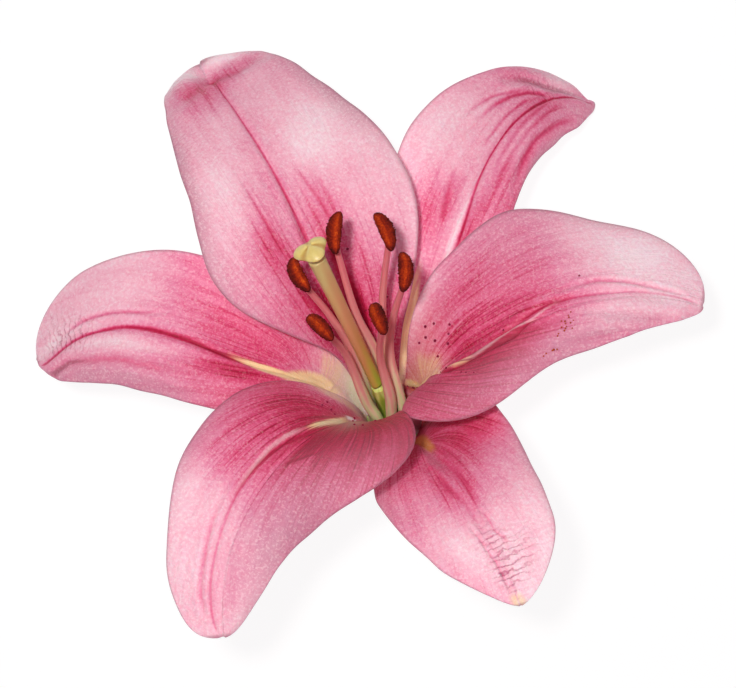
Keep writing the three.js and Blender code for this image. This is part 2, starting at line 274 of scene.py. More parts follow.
tepals["inner_tepal_upper_left"] = dict(
    turn=120, length=129.5, cap=0.94, tips=(0.62, 1), waves=3.5, phase=0.1, fan=(0.15, 10), flare=45,
    bend=(17, 28, 51, 79, 108, 135), sway=(0, 0, 0, -2, -8, -14), roll=(0, 0, 0, 5, 6, 0),
    left=(4, 9, 28, 23.5, 17.2, 11), right=(5, 12.5, 28, 27.5, 21.6, 14.6), rise=(25, 30, 20, 12, 10, 20),
    edgeLeft=(40, 45, 0, -20, -30, -30), edgeRight=(40, 30, 15, 8, 0, 0),
    midrib=(0, 0, 0.06, 0.02, 0, -0.04), midribTint=0.6, midribFrom=0.36, midribEnd=(0.925, 0.955),
    blushRight=(0.6, 0.6, 0.22, 0.18, 0.3, 0.33), blushCentre=(0.8, 0.95, 0.64, 0.36, 0.34, 0.38),
    blushLeft=(0.6, 0.65, 0.37, 0.22, 0.35, 0.28),
    patches=(
        # Of these, the patches at 0.3 and 0.32 along are painted shadows of the style and a filament, those
        # from 0.81 to 0.92 along painted shade in the hollow below the rolled lip, and those at 0.955 and
        # 0.98 lighten the lip: partly its own paleness, partly painted highlight.
        (-0.5, 0.62, 0.35, 0.08, -0.2), (0.6, 0.56, 0.22, 0.12, -0.15), (-0.25, 0.47, 0.12, 0.08, 0.25),
        (0.4, 0.44, 0.12, 0.08, 0.25), (-0.25, 0.905, 0.4, 0.04, 0.3), (0.35, 0.875, 0.45, 0.04, 0.28),
        (-0.12, 0.32, 0.05, 0.09, 0.2), (0.35, 0.3, 0.1, 0.06, 0.3), (0.6, 0.955, 0.35, 0.03, -0.5),
        (0.35, 0.81, 0.3, 0.05, 0.22), (0.02, 0.91, 0.22, 0.04, 0.16), (-0.68, 0.92, 0.2, 0.03, 0.12),
        (-0.35, 0.53, 0.2, 0.1, -0.1), (-0.17, 0.866, 0.15, 0.03, 0.12), (-0.5, 0.98, 0.4, 0.025, -0.45),
    ),
    creasesAndShadowBands=(
        (3.2, 0.85, 0.1, (0.02, 0.95), (-0.15, 0.915), (-0.35, 0.9), (-0.7, 0.91)),
        (2.8, 0.75, 0.1, (-0.02, 0.94), (0.2, 0.9), (0.5, 0.865), (0.7, 0.85)),
        (0.6, 0.1, 0.3, (-0.17, 0.57), (-0.21, 0.5), (-0.23, 0.42)),
        (0.6, 0.1, 0.3, (0.39, 0.58), (0.35, 0.48), (0.33, 0.4)),
        # This one has no depth: it is the painted shadow of the style, a darker band beside it.
        (1.5, 0, 0.5, (-0.13, 0.42), (-0.16, 0.359), (-0.19, 0.306), (-0.27, 0.249), (-0.33, 0.17)),
    ),
    channels=(("cream", 3, 1, 0.6, (0, 0), (0, 0.22)),),
    wrinkles=((0.7, 0.93, 0.35, 0.04, 0.5), (0.9, 0.72, 0.3, 0.15, 0.2), (-0.95, 0.7, 0.2, 0.2, 0.15)),
    swells=((0.6, 0.95, 0.3, 0.03, 1.2), (-0.5, 0.985, 0.35, 0.02, 1.2)), green=((0, 0, 0.8, 0.1, 0.6),),
    mauve=((-1, 0.7, 0.16, 0.2, 0.7), (1, 0.6, 0.14, 0.25, 0.7)),
    papilla=((-0.27, 0.38, 0.4), (-0.32, 0.258, 0.3), (-0.65, 0.271, 0.3)),
)
tepals["inner_tepal_right"] = dict(
    turn=1, length=100, cap=0.85, tips=(0.8, 0.65), phase=0.4, fan=(0.2, 24),
    bend=(7, 25, 51, 75, 95, 108), sway=(0, 0, 5, 11, 8, -10),
    left=(5, 10, 27, 32, 25.1, 14), right=(6.5, 20, 20.8, 13, 10.6, 4.8), neck=(0.67, 0.178, 0.07),
    rise=(25, 30, 20, 12, 10, 10), riseRight=(25, 64, 23, 12, 10, 10), edgeLeft=(40, 40, 10, 8, -5, 0),
    edgeRight=(40, 18, -20, -60, -60, -50),
    midrib=(0, 0, -0.1, 0.07, 0.07, 0.05), midribTint=0.5, midribFrom=0.5,
    blushRight=(0.9, 0.82, 0.68, 0.44, 0.42, 0.35), blushCentre=(1, 0.5, 0.8, 0.66, 0.22, 0.12),
    blushLeft=(1.1, 0.55, 0.46, 0.41, 0.18, 0.2),
    patches=(
        # The first patch is a painted shadow, deepening the crimson there
        (-0.3, 0.42, 0.2, 0.12, 0.21), (0.1, 0.13, 0.6, 0.05, -0.15), (-0.5, 0.8, 0.3, 0.1, -0.15),
        (-0.25, 0.55, 0.4, 0.09, 0.22), (-0.6, 0.45, 0.2, 0.05, 0.12), (0.32, 0.24, 0.2, 0.05, 0.1),
        (0.6, 0.85, 0.35, 0.1, -0.15), (0.95, 0.31, 0.15, 0.06, -0.22), (0, 0.9, 0.3, 0.05, -0.1),
        (0.1, 0.36, 0.2, 0.05, 0.1), (-0.6, 0.31, 0.2, 0.05, 0.18), (-0.65, 0.54, 0.2, 0.06, 0.1),
    ),
    creasesAndShadowBands=(
        (0.7, 0.4, 0.45, (0.13, 0.95), (0.15, 0.88), (0.2, 0.8), (0.22, 0.75), (0.17, 0.66)),
        (1.5, 0.5, 0.12, (-0.78, 0.92), (-0.5, 0.82), (-0.24, 0.72)),
        (1.2, 0.4, 0.12, (-0.9, 0.78), (-0.75, 0.62)),
        # This crease, just below the cream lip, is darkened as painted shade under the lip
        (0.8, 0.7, 0.5, (1, 0.105), (0.55, 0.14), (0.2, 0.163), (0.05, 0.2), (-0.1, 0.28), (-0.25, 0.35),
         (-0.21, 0.4), (-0.2, 0.46), (-0.2, 0.52), (-0.05, 0.57), (0.04, 0.63)),
    ),
    channels=(
        ("cream", 1, 0.7, 1, (1, 0.13), (0.6, 0.16), (0.2, 0.186), (0.11, 0.233), (-0.05, 0.3)),
        ("cream", 0.7, 0.5, 0.45, (-0.05, 0.3), (-0.18, 0.356), (-0.17, 0.41)),
        # This channel is a painted highlight along the ridge beside the midrib
        ("paintedSparkle", 0.45, 0.3, 0.35, (-0.16, 0.37), (-0.17, 0.41), (-0.14, 0.46), (-0.1, 0.51),
         (-0.02, 0.56), (0.05, 0.61), (0.1, 0.66)),
        ("cream", 4, 4, 0.4, (0.6, 0.2), (0.2, 0.24), (0.05, 0.3)),
    ),
    wrinkles=((-0.8, 0.85, 0.3, 0.1, 0.15),),
    amber=((0.5, 0.16, 0.6, 0.06, 0.45), (0.6, 0.27, 0.4, 0.08, 0.18)),
    mauve=((-0.8, 0.55, 0.45, 0.3, 0.6), (1, 0.8, 0.1, 0.3, 0.4), (0.7, 0.6, 0.4, 0.12, 0.25)),
    papilla=(
        (0.68, 0.3, 0.45), (0.57, 0.325, 0.4), (0.38, 0.364, 0.4), (0.59, 0.29, 0.45), (0.68, 0.265, 0.4),
        (0.42, 0.31, 0.45), (0.23, 0.34, 0.45), (0.23, 0.297, 0.35), (0.02, 0.5, 0.3), (0.28, 0.71, 0.3),
        (0.5, 0.155, 0.4), (0.3, 0.172, 0.4), (0.16, 0.19, 0.35), (-0.11, 0.273, 0.4),
        (-0.16, 0.328, 0.35), (-0.03, 0.285, 0.3), (0.04, 0.25, 0.3), (-0.37, 0.38, 0.3),
        (-0.4, 0.391, 0.25), (-0.45, 0.41, 0.25), (0.32, 0.35, 0.35), (0.8, 0.135, 0.3),
    ),
    pollen=(
        (-0.57, 0.62, 0.2), (-0.54, 0.625, 0.18), (-0.52, 0.64, 0.22), (-0.48, 0.643, 0.2),
        (-0.45, 0.65, 0.16), (-0.4, 0.66, 0.2), (-0.38, 0.647, 0.18), (-0.33, 0.65, 0.22),
        (-0.3, 0.64, 0.18), (-0.27, 0.66, 0.2), (-0.22, 0.66, 0.16), (-0.52, 0.66, 0.16),
        (-0.16, 0.67, 0.18), (-0.43, 0.635, 0.2), (-0.36, 0.67, 0.15), (-0.8, 0.61, 0.2),
        (-0.78, 0.6, 0.25), (-0.765, 0.595, 0.22), (-0.77, 0.583, 0.2), (-0.79, 0.575, 0.18),
    ),
)
tepals["inner_tepal_lower_left"] = dict(
    turn=-123, length=104, cap=0.85, tips=(0.6, 1), phase=0.7, fan=(0.29, 24),
    bend=(11, 28, 55, 82, 107, 127), sway=(0, 0, -3, 0, 13, 33),
    left=(5, 10.5, 25, 18.5, 12.8, 7), right=(4.5, 9, 23, 23.5, 16.5, 10.8), rise=(25, 30, 20, 15, 10, 10),
    edgeLeft=(40, 58, 12, -50, -60, -50), edgeRight=(40, 30, -20, -20, -10, 0),
    midrib=(0, 0, -0.04, -0.18, -0.22, -0.25), midribTint=0.55, midribFrom=0.42,
    blushRight=(0.3, 0.42, 0.7, 0.45, 0.22, 0.18), blushCentre=(0.5, 0.75, 0.95, 0.72, 0.36, 0.15),
    blushLeft=(0.6, 0.9, 0.95, 0.55, 0.38, 0.22),
    patches=(
        (0.12, 0.47, 0.13, 0.07, 0.35), (-0.55, 0.41, 0.4, 0.07, 0.08), (0.3, 0.33, 0.3, 0.07, 0.25),
        (-0.8, 0.74, 0.3, 0.07, -0.16), (0.45, 0.48, 0.2, 0.06, 0.13), (0.25, 0.9, 0.25, 0.06, 0.15),
        (-0.4, 0.72, 0.3, 0.05, -0.1), (-0.22, 0.76, 0.2, 0.09, -0.2), (-0.8, 0.22, 0.3, 0.06, -0.3),
    ),
    creasesAndShadowBands=(
        (0.7, 0.4, 0.4, (-0.42, 0.95), (-0.42, 0.915), (-0.38, 0.857), (-0.38, 0.81), (-0.37, 0.76),
         (-0.34, 0.68)),
        (0.5, 0.1, 0.5, (0.06, 0.565), (0.16, 0.534), (0.27, 0.486)),
    ),
    channels=(
        ("cream", 0.9, 0.6, 0.9, (-0.07, 0.27), (-0.06, 0.316), (-0.08, 0.368), (-0.1, 0.407),
         (-0.12, 0.443)),
        ("green", 0.8, 0.5, 0.5, (-0.05, 0.29), (-0.07, 0.35), (-0.1, 0.42)),
        # The next two channels are painted highlights: along the ridge by the midrib and on the claw's lip
        ("paintedSparkle", 0.6, 0.5, 0.35, (-0.12, 0.44), (-0.17, 0.498), (-0.2, 0.553), (-0.21, 0.605),
         (-0.23, 0.7)),
        ("paintedSparkle", 0.7, 0.5, 1, (-0.13, 0.285), (-0.1, 0.257), (-0.07, 0.225)),
        ("cream", 3, 3, 0.4, (-0.85, 0.16), (-0.85, 0.24), (-0.9, 0.29)),
    ),
    wrinkles=((0.9, 0.75, 0.3, 0.15, 0.15),),
    green=((0.1, 0.28, 0.2, 0.08, 0.5), (-0.6, 0.1, 0.6, 0.1, 0.35)),
    mauve=((0.7, 0.7, 0.6, 0.25, 0.7), (-1, 0.6, 0.15, 0.2, 0.4), (0.9, 0.4, 0.3, 0.15, 0.2)),
    papilla=(
        (-0.37, 0.33, 0.35), (-0.28, 0.312, 0.4), (-0.19, 0.315, 0.35), (-0.45, 0.3, 0.35),
        (-0.13, 0.24, 0.4), (-0.05, 0.205, 0.35), (0.2, 0.33, 0.35), (0.32, 0.33, 0.35), (0.1, 0.29, 0.35),
        (0.45, 0.28, 0.35),
    ),
)
tepals["outer_tepal_upper_right"] = dict(
    turn=60, length=121, cap=0.89, tips=(1.3, 2.6), phase=0.2, fan=(0.1, 8),
    bend=(23, 37, 58, 81, 106.4, 133), sway=(0, 0, 2, -2, -19, -62), roll=(0, 0, 4, 12, 18, 20),
    left=(4.5, 9, 19, 22, 12.9, 0.8), right=(4.5, 9, 13.5, 11.5, 12.3, 9.5), rise=(5, 15, 12, 10, 10, 10),
    edgeLeft=(10, 0, -15, -10, 0, 0), edgeRight=(10, 0, -35, -55, -55, -40),
    midrib=(0, 0, -0.14, -0.01, -0.11, -0.3), midribTint=0.85, midribFrom=0.35,
    blushRight=(0.9, 0.9, 0.68, 0.54, 0.5, 0.5), blushCentre=(0.8, 0.7, 0.43, 0.33, 0.38, 0.38),
    blushLeft=(0.7, 0.65, 0.36, 0.2, 0.5, 0.3),
    patches=(
        (0.65, 0.62, 0.25, 0.1, -0.1), (-0.1, 0.8, 0.3, 0.06, 0.2), (-0.28, 0.44, 0.2, 0.08, 0.2),
        (-0.4, 0.65, 0.2, 0.07, -0.18), (-0.02, 0.42, 0.07, 0.1, -0.5), (0.4, 0.46, 0.25, 0.08, 0.25),
        (-0.5, 0.6, 0.4, 0.15, 0.12), (0.6, 0.9, 0.6, 0.04, -0.25), (0.2, 0.5, 0.15, 0.05, 0.1),
        (-0.35, 0.84, 0.15, 0.05, 0.12),
    ),
    creasesAndShadowBands=(
        (0.8, 0.35, 0.62, (-0.06, 0.84), (0.1, 0.83), (0.24, 0.8), (0.34, 0.76), (0.37, 0.71), (0.36, 0.6)),
        (0.6, 0.25, 0.42, (0.3, 0.8), (0.5, 0.73), (0.55, 0.66)),
        (0.6, 0.25, 0.42, (0.1, 0.8), (0.13, 0.72), (0.12, 0.6)),
        (0.9, 0.3, 0.34, (-0.2, 0.84), (-0.25, 0.55)),
        (0.9, 0.3, 0.32, (-0.38, 0.87), (-0.42, 0.5)),
        (1.1, 0.4, 0.42, (-0.78, 0.88), (-0.7, 0.8), (-0.62, 0.716), (-0.7, 0.64), (-0.85, 0.56)),
        (1.6, 0.8, 0.2, (0.7, 0.79), (0.54, 0.829), (0.3, 0.86), (0.1, 0.9), (-0.1, 0.97)),
        (0.9, 0.2, 0.3, (0.3, 0.56), (0.2, 0.42)),
        (0.9, 0.2, 0.3, (0.75, 0.48), (0.7, 0.38)),
    ),
    channels=(
        ("cream", 2, 1.2, 0.9, (0.57, 0), (0.57, 0.1), (0.5, 0.201), (0.4, 0.268), (0.38, 0.34)),
        # The shade channel is painted shade along the fold where the tip's margin turns over
        ("shade", 1.1, 0.9, 0.42, (0.7, 0.8), (0.54, 0.829), (0.3, 0.86), (0.1, 0.9), (-0.1, 0.97)),
    ),
    wrinkles=((0.15, 0.84, 0.6, 0.04, 0.5),), green=((0.45, 0.06, 0.3, 0.06, 0.5),),
    mauve=((-1, 0.7, 0.12, 0.2, 0.4), (0.9, 0.9, 0.4, 0.06, 0.2)),
)
tepals["outer_tepal_lower_right"] = dict(
    turn=-60, length=84, cap=0.8, tips=(1.2, 1.3), waves=2.5, phase=0.5, fan=(0.22, 18),
    bend=(22, 40, 55, 70, 90, 116), sway=(0, 0, -4, -7, -9, -16),
    left=(9, 19.5, 19, 17.2, 15.2, 10.5), right=(6, 12, 18.6, 19.2, 15, 8.5), rise=(15, 20, 8, 8, 10, 10),
    edgeLeft=(54, 27, 5, -15, -10, 0), edgeRight=(10, 10, -15, -15, -10, 0),
    midrib=(0, 0, -0.06, -0.08, -0.1, -0.05), midribTint=0.2, midribFrom=0.55, furrow=0.35,
    blushRight=(0.9, 0.8, 0.64, 0.36, 0.28, 0.33), blushCentre=(0.9, 0.85, 0.74, 0.52, 0.15, 0.05),
    blushLeft=(0.9, 0.85, 0.6, 0.3, 0.13, 0.15),
    patches=(
        (-0.25, 0.6, 0.14, 0.12, 0.2), (0.05, 0.6, 0.12, 0.12, 0.15), (-0.85, 0.64, 0.2, 0.1, 0.12),
        (-0.6, 0.78, 0.25, 0.08, -0.1), (0.6, 0.38, 0.4, 0.08, 0.15), (-0.85, 0.82, 0.2, 0.08, 0.12),
        (0.55, 0.86, 0.2, 0.06, 0.12), (-0.1, 0.95, 0.2, 0.04, 0.1),
    ),
    creasesAndShadowBands=(
        (0.45, 0.4, 0.35, (-0.2, 0.95), (-0.16, 0.87), (-0.19, 0.8), (-0.23, 0.74)),
        (0.45, 0.4, 0.3, (0.05, 0.7), (0.07, 0.726), (0.08, 0.778), (0.16, 0.81), (0.12, 0.86)),
        (1.1, 0.2, 0.24, (-0.12, 0.74), (-0.1, 0.68), (-0.17, 0.58), (-0.2, 0.45)),
        (1.1, 0.2, 0.22, (0.03, 0.68), (0.05, 0.58), (0.02, 0.45)),
    ),
    channels=(
        ("amber", 2.2, 1.2, 0.95, (0.1, 0.1), (0.08, 0.175), (0.03, 0.275), (0, 0.35)),
        ("mauve", 1.8, 1.4, 0.3, (-0.06, 0.28), (-0.09, 0.36), (-0.11, 0.42), (-0.06, 0.5)),
        ("cream", 1.6, 2.2, 0.4, (-0.15, 0.96), (-0.1, 1), (-0.1, 1.03)),
    ),
    wrinkles=((0.2, 0.88, 0.4, 0.07, 0.8), (-0.15, 0.92, 0.25, 0.05, 0.6), (-0.05, 0.8, 0.2, 0.05, 0.6)),
    mauve=((-1, 0.5, 0.2, 0.15, 0.5), (1, 0.6, 0.1, 0.3, 0.5)),
)
tepals["outer_tepal_left"] = dict(
    turn=180, length=105, cap=0.85, tips=(1, 0.7), phase=0.9, fan=(0.25, 18),
    bend=(16, 34, 59, 82, 107, 130), sway=(0, 0, -3, -11, -2, 31), roll=(0, 0, -5, -12, -15, -15),
    left=(4.5, 8, 14.5, 15, 14, 11), right=(6.5, 14.5, 22, 23.6, 19.8, 11.5), rise=(5, 12, 10, 10, 10, 10),
    edgeLeft=(10, 0, -40, -60, -50, -30), edgeRight=(10, 20, 0, 0, 0, 0),
    midrib=(0, -0.1, 0.09, -0.03, 0, 0.45), midribTint=0.9, midribFrom=0.42, midribWidth=0.6,
    blushRight=(0.1, 0.36, 0.42, 0.27, 0.15, 0.22), blushCentre=(0.1, 0.3, 0.74, 0.5, 0.28, 0.3),
    blushLeft=(0.6, 0.72, 0.68, 0.46, 0.4, 0.4),
    patches=(
        (0.25, 0.48, 0.2, 0.08, 0.25), (-0.5, 0.78, 0.35, 0.1, -0.05), (0.25, 0.74, 0.13, 0.1, -0.25),
        (0.3, 0.62, 0.2, 0.08, -0.1), (-0.28, 0.53, 0.2, 0.05, 0.12), (-0.38, 0.29, 0.3, 0.05, 0.08),
        (-0.65, 0.62, 0.45, 0.07, 0.18), (-0.92, 0.65, 0.15, 0.06, 0.15), (-0.75, 0.82, 0.25, 0.08, 0.1),
        (0.5, 0.57, 0.25, 0.07, 0.12), (-0.1, 0.94, 0.25, 0.05, -0.2),
    ),
    creasesAndShadowBands=(
        (0.6, 0.35, 0.5, (-0.11, 0.9), (-0.2, 0.838), (-0.23, 0.783), (-0.23, 0.712), (-0.25, 0.652)),
        (1.2, 0.8, 0.35, (0.97, 0.994), (0.7, 0.95), (0.56, 0.9), (0.57, 0.83), (0.54, 0.74),
         (0.55, 0.648), (0.6, 0.55)),
        (0.7, 0.4, 0.3, (-0.2, 0.2), (-0.14, 0.27), (0, 0.33)),
    ),
    channels=(
        ("cream", 3.2, 0.6, 1, (-0.19, 0.123), (-0.14, 0.21), (-0.06, 0.27), (0.07, 0.33), (0.09, 0.403),
         (0, 0.48)),
        ("cream", 5, 4, 0.4, (-0.5, 0.14), (-0.47, 0.19), (-0.42, 0.24)),
        # The shade channel is painted shade along the fold
        ("shade", 1, 0.4, 0.5, (0.97, 0.994), (0.7, 0.95), (0.56, 0.9), (0.57, 0.83)),
    ),
    wrinkles=((0, 0.9, 0.3, 0.07, 1), (0.25, 0.8, 0.2, 0.1, 0.2), (-0.6, 0.93, 0.3, 0.05, 0.3)),
    green=((-0.7, 0.1, 0.4, 0.075, 1), (-0.3, 0.04, 0.4, 0.06, 0.8)), mauve=((1, 0.76, 0.45, 0.3, 0.6),),
    # A painted shadow at the claw's margin, for the dark gap between the bases of this tepal and the next
    shade=((-1, 0.15, 0.12, 0.025, 1),),
)
# Columns run from midrib to margin, crowded at the midrib, and a cap of rows goes round the tip
bladeMake = dict(
    columns=60, crowding=1.15, bodyRows=215, capRows=34, capAngle=87,
    flareFrom=0.92,                     # where a flared tip turns out again
    curl=1.4,                           # how late the slope turns to the margin's
    uneven=0.3, unevenPace=0.5,         # wandering of the margins, and its pace per millimetre
    ruffleLead=0.3, rufflePower=2.5,    # of the right margin's ruffles, and how near the margin
    midribThickness=1.1, marginThickness=0.6, leastThickness=0.45,
    keel=0.9, keelWidth=1.6,            # rib behind the blade, then the furrow in front of it
    groove=0.55, grooveWidth=0.55, welt=0.35, weltPlace=1.9, weltWidth=1,
)


# Soft unevenness: a few waves of random direction, the same each run
def ripples(x, y, seed, count=7):
    random = np.random.default_rng(seed)
    total = 0
    for _ in range(count):
        angle = random.uniform(0, 2 * np.pi)
        pace = random.uniform(0.6, 1.6)
        phase = random.uniform(0, 2 * np.pi)
        total = total + np.sin(pace * (x * math.cos(angle) + y * math.sin(angle)) + phase)
    return total / count


# Frames down the midrib in a hundred steps: place, sideways and inner-face directions
def midribFrames(tepal):
    steps = 100
    radial = outward(tepal["turn"])
    side = np.cross(bloomAxis, radial)
    first = math.radians(tepal["bend"][0])
    tangent = radial * math.sin(first) + bloomAxis * math.cos(first)
    face = np.cross(tangent, side)
    dip = (bladeMake["midribThickness"] / 2 + bladeMake["keel"]) * math.sin(first)
    place = onAxis(tepal["turn"], tepal["ring"], bloom["gap"] + dip)
    s = np.linspace(0, 1, steps + 1)
    bend = along(tepal["bend"], s) - tepal["flare"] * smoothStep(s, bladeMake["flareFrom"], 1)
    sway = along(tepal["sway"], s)
    roll = along(tepal["roll"], s)
    places, sides, faces = [], [], []
    for i in range(steps + 1):
        if i > 0:
            change = bend[i] - bend[i - 1]
            tangent, face = turned(tangent, side, change), turned(face, side, change)
            change = sway[i] - sway[i - 1]
            tangent, side = turned(tangent, face, change), turned(side, face, change)
            change = roll[i] - roll[i - 1]
            side, face = turned(side, tangent, change), turned(face, tangent, change)
        places.append(place.copy())
        sides.append(side)
        faces.append(face)
        place = place + tangent * tepal["length"] / steps
    return np.array(places), np.array(sides), np.array(faces)


def betweenFrames(frames, s):
    x = s * (len(frames) - 1)
    i = np.minimum(np.floor(x).astype(int), len(frames) - 2)
    f = (x - i)[:, None]
    return frames[i] * (1 - f) + frames[i + 1] * f


# One half of a blade, hand -1 for the right and 1 for the left: how far to the side and the front of
# the midrib each column is, and each row's half width
def halfBlade(tepal, hand, s, narrowing, shares):
    make = bladeMake
    right = hand < 0
    width = along(tepal["right" if right else "left"], s) * narrowing ** tepal["tips"][0 if right else 1]
    rise = along(tepal.get("riseRight", tepal["rise"]) if right else tepal["rise"], s)
    if right:
        amount, middle, reach = tepal["neck"]
        width = width * (1 - amount * bump(s, middle, reach))
    wander = ripples(make["unevenPace"] * s * tepal["length"], 7 * hand, 3)
    width = width + make["uneven"] * wander * narrowing * np.minimum(1, 5 * s)
    slope = along(tepal["edgeRight" if right else "edgeLeft"], s)
    middle = (shares[1:] + shares[:-1]) / 2
    step = width[:, None] * np.diff(shares)
    angle = np.radians(rise[:, None] + (slope - rise)[:, None] * middle ** make["curl"])
    foot = np.zeros((len(s), 1))
    x = np.concatenate([foot, np.cumsum(np.cos(angle) * step, axis=1)], axis=1)
    z = np.concatenate([foot, np.cumsum(np.sin(angle) * step, axis=1)], axis=1)
    turn = 2 * np.pi * (tepal["waves"] * s + tepal["phase"] + (make["ruffleLead"] if right else 0))
    size = tepal["ruffle"] * np.sin(turn) * np.minimum(1, 4 * s) * narrowing
    return hand * x, z + size[:, None] * shares ** make["rufflePower"], width


# The middle surface of a tepal: points, the place of each on the blade, and the half widths there
def bladeSurface(tepal):
    make = bladeMake
    cap = tepal["cap"]
    steps = np.arange(1, make["capRows"] + 1) / make["capRows"]
    angles = np.radians(make["capAngle"]) * steps
    s = np.concatenate([np.linspace(0, cap, make["bodyRows"] + 1), cap + (1 - cap) * np.sin(angles)])
    narrowing = np.concatenate([np.ones(make["bodyRows"] + 1), np.cos(angles)])
    places, sides, faces = (betweenFrames(f, s)[:, None] for f in midribFrames(tepal))
    sides, faces = unit(sides), unit(faces)
    shares = (np.arange(make["columns"] + 1) / make["columns"]) ** make["crowding"]
    halves = []
    for hand in (-1, 1):
        x, z, width = halfBlade(tepal, hand, s, narrowing, shares)
        halves.append((places + sides * x[..., None] + faces * z[..., None], width))
    (rightPoints, rightWidth), (leftPoints, leftWidth) = halves
    points = np.concatenate([rightPoints[:, ::-1], leftPoints[:, 1:]], axis=1)
    across = np.concatenate([-shares[::-1], shares[1:]])
    widths = np.where(across < 0, rightWidth[:, None], leftWidth[:, None])
    widths = np.maximum(widths, 0.3)
    return points, across[None, :] + 0 * widths, s[:, None] + 0 * widths, widths


def surfaceNormals(points):
    return unit(np.cross(np.gradient(points, axis=0), np.gradient(points, axis=1)))


# Millimetres from a line through places on the blade, and how much of it is passed there
def fromLine(places, x, y, width, length):
    best = np.full(x.shape, 1e9)
    share = np.zeros(x.shape)
    count = len(places) - 1
    for k in range(count):
        (a0, s0), (a1, s1) = places[k], places[k + 1]
        x0, y0, x1, y1 = a0 * width, s0 * length, a1 * width, s1 * length
        dx, dy = x1 - x0, y1 - y0
        t = np.clip(((x - x0) * dx + (y - y0) * dy) / (dx * dx + dy * dy + 1e-9), 0, 1)
        distance = np.hypot(x - x0 - t * dx, y - y0 - t * dy)
        closer = distance < best
        best = np.where(closer, distance, best)
        share = np.where(closer, (k + t) / count, share)
    return best, share


def spread(spots, a, s):
    total = np.zeros(a.shape)
    for a0, s0, reachAcross, reachAlong, amount in spots:
        total = total + amount * bump(a, a0, reachAcross) * bump(s, s0, reachAlong)
    return total


veins = dict(
    height=0.04, paces=((45, 2.5), (25, 4)),    # fine veins in two sets, each across and along
    unevenHeight=0.35, unevenPace=0.35,         # slow swells of the blade
    dull=0.15, dullWidth=2.2,                   # faint darkening beside the midrib
)


# Raised and sunk detail on the blade's two faces in millimetres, and the darkening: the midrib's tint,
# and painted shade along the creases and in shadow bands
def bladeRelief(name, tepal, a, s, widths):
    make = bladeMake
    seed = sum(map(ord, name))
    x, y = a * widths, s * tepal["length"]
    slow = veins["unevenHeight"] * ripples(x * veins["unevenPace"], y * veins["unevenPace"], seed)
    slow = slow * smoothStep(s, 0.1, 0.4) * smoothStep(1 - s, 0, 0.1) + spread(tepal["swells"], a, s)
    (acrossOne, alongOne), (acrossTwo, alongTwo) = veins["paces"]
    lines = ripples(a * acrossOne, s * alongOne, seed + 1) + ripples(a * acrossTwo, s * alongTwo, seed + 3)
    lines = veins["height"] * lines * smoothStep(s, 0.03, 0.15)
    lines = lines * smoothStep(1.02 - s, 0, 0.2) * smoothStep(1.05 - np.abs(a), 0, 0.3)
    offset = np.abs(x - along(tepal["midrib"], s) * widths) + 9 * smoothStep(s, *tepal["midribEnd"])
    furrow = tepal["furrow"]
    groove = make["groove"] * furrow * (1 - 0.5 * s) * bump(offset, 0, make["grooveWidth"])
    welts = make["welt"] * furrow * bump(offset, make["weltPlace"], make["weltWidth"])
    welts = welts * smoothStep(1 - s, 0, 0.5)
    keel = make["keel"] * (1 - 0.85 * s) * bump(np.abs(x), 0, make["keelWidth"])
    sunk = groove - welts + lines
    start = tepal["midribFrom"]
    midribTintAndPaintedShade = tepal["midribTint"] * bump(offset, 0, tepal["midribWidth"]) * smoothStep(s, start, start + 0.1)
    midribTintAndPaintedShade = np.maximum(midribTintAndPaintedShade, veins["dull"] * bump(offset, 0, veins["dullWidth"]) * smoothStep(s, start, 0.8))
    # Each crease sinks the blade and darkens it as painted shade; one with no depth is only a painted
    # shadow band
    for width, depth, tint, *places in tepal["creasesAndShadowBands"]:
        distance, share = fromLine(places, x, y, widths, tepal["length"])
        shape = bump(distance, 0, width) * smoothStep(np.minimum(share, 1 - share), -0.15, 0.25)
        sunk = sunk + depth * (shape - 0.5 * bump(distance, 1.9 * width, width))
        fade = smoothStep(1 - share, 0, 0.3) * smoothStep(share, -0.1, 0.2)
        midribTintAndPaintedShade = np.maximum(midribTintAndPaintedShade, tint * bump(distance, 0, 0.8 * width) * fade)
    body = make["midribThickness"] + (make["marginThickness"] - make["midribThickness"]) * np.abs(a)
    front = body / 2 + slow - sunk
    back = -body / 2 + slow - keel - np.minimum(sunk, 0.4)
    return front, np.minimum(back, front - make["leastThickness"]), midribTintAndPaintedShade


# The washes laid over the pink: pigments, save shade, which is painted shade, and the sparkle wash, which
# is painted highlight
pigmentsAndPaintedLight = ("cream", "green", "mauve", "amber", "shade", "paintedSparkle")
washNames = (
    *pigmentsAndPaintedLight, "blush", "shadeAndMidribTint", "wrinkle", "rim", "outside", "papilla", "pollen", "vein", "reach", "run",
)


